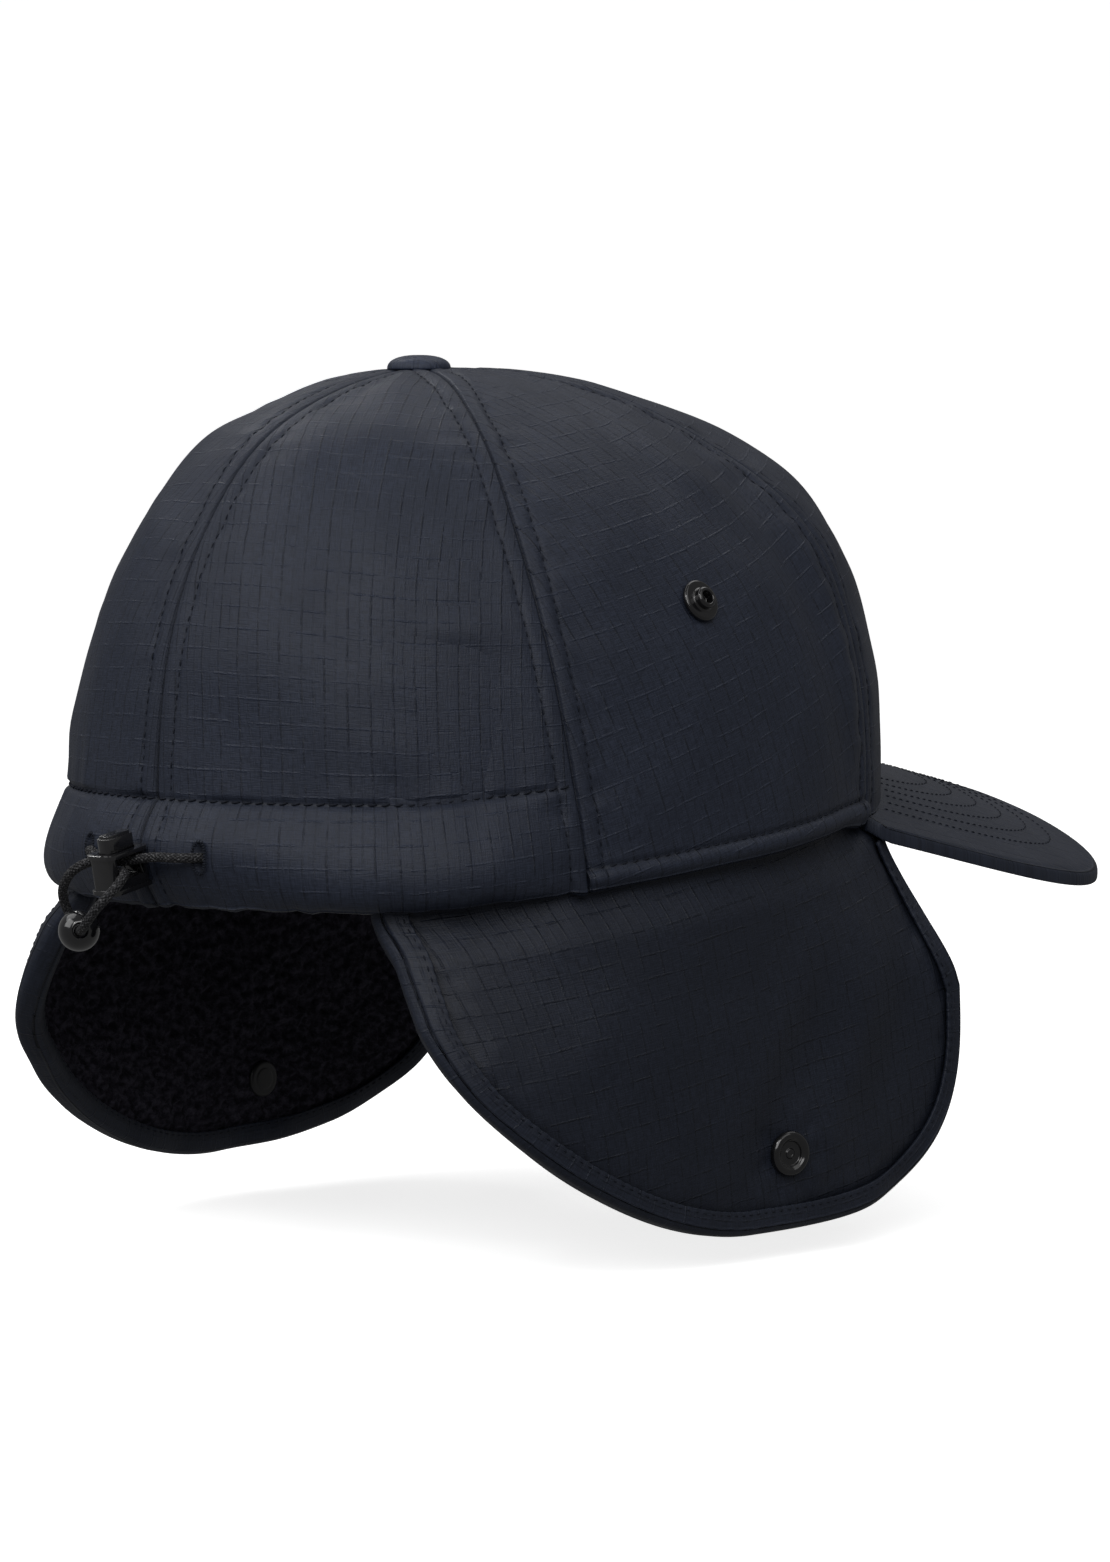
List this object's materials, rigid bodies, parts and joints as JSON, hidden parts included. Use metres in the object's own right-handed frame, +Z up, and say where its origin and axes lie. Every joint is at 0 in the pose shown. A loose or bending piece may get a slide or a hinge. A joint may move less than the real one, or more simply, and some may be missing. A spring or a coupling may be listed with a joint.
{
  "type": "earflap cap",
  "caption": "Six-panel cap with a curved peak, two hanging fleece-lined ear flaps with snap fastenings, and a drawcord with a sprung lock and a bead at the back.",
  "frame": {"origin": "middle of the head opening, level with the hem at the back, where the cap sits on a head", "axes": "+Z up through the top button, the peak points to -Y, the wearer's right is -X"},
  "size_m": [0.1844, 0.2924, 0.2021],
  "materials": {
    "ripstop": "matt dark navy ripstop cloth with a fine woven grid",
    "fleece": "curly black pile fleece",
    "tape": "matt dark navy folded cloth binding and stitching",
    "plastic": "black moulded plastic, satin",
    "snap_metal": "black enamelled metal",
    "braid": "black braided elastic cord"
  },
  "bodies": {
    "cap": {"crown_front_right": "ripstop", "crown_side_right": "ripstop", "crown_rear_right": "ripstop", "crown_front_left": "ripstop", "crown_side_left": "ripstop", "crown_rear_left": "ripstop", "top_button": "ripstop", "peak": "ripstop", "flap_shell_right": "ripstop", "flap_shell_left": "ripstop", "flap_lining_right": "fleece", "flap_lining_left": "fleece", "flap_binding_right": "tape", "flap_binding_left": "tape", "crown_stud_right": "snap_metal", "crown_stud_left": "snap_metal", "flap_socket_right": "snap_metal", "flap_socket_left": "snap_metal", "flap_socket_cap_right": "snap_metal", "flap_socket_cap_left": "snap_metal", "buttonhole_right": "tape", "buttonhole_left": "tape", "drawcord": "braid", "cord_lock_body": "plastic", "cord_bead": "plastic"},
    "plunger": {"cord_lock_plunger": "plastic"}
  },
  "joints": [
    {"name": "plunger_press", "type": "slide", "parent": "cap", "child": "plunger", "axis": [0, -0.2079, -0.9781], "range_m": [0, 0.0014], "stiffness_N_per_m": 800, "springref_m": -0.001}
  ]
}
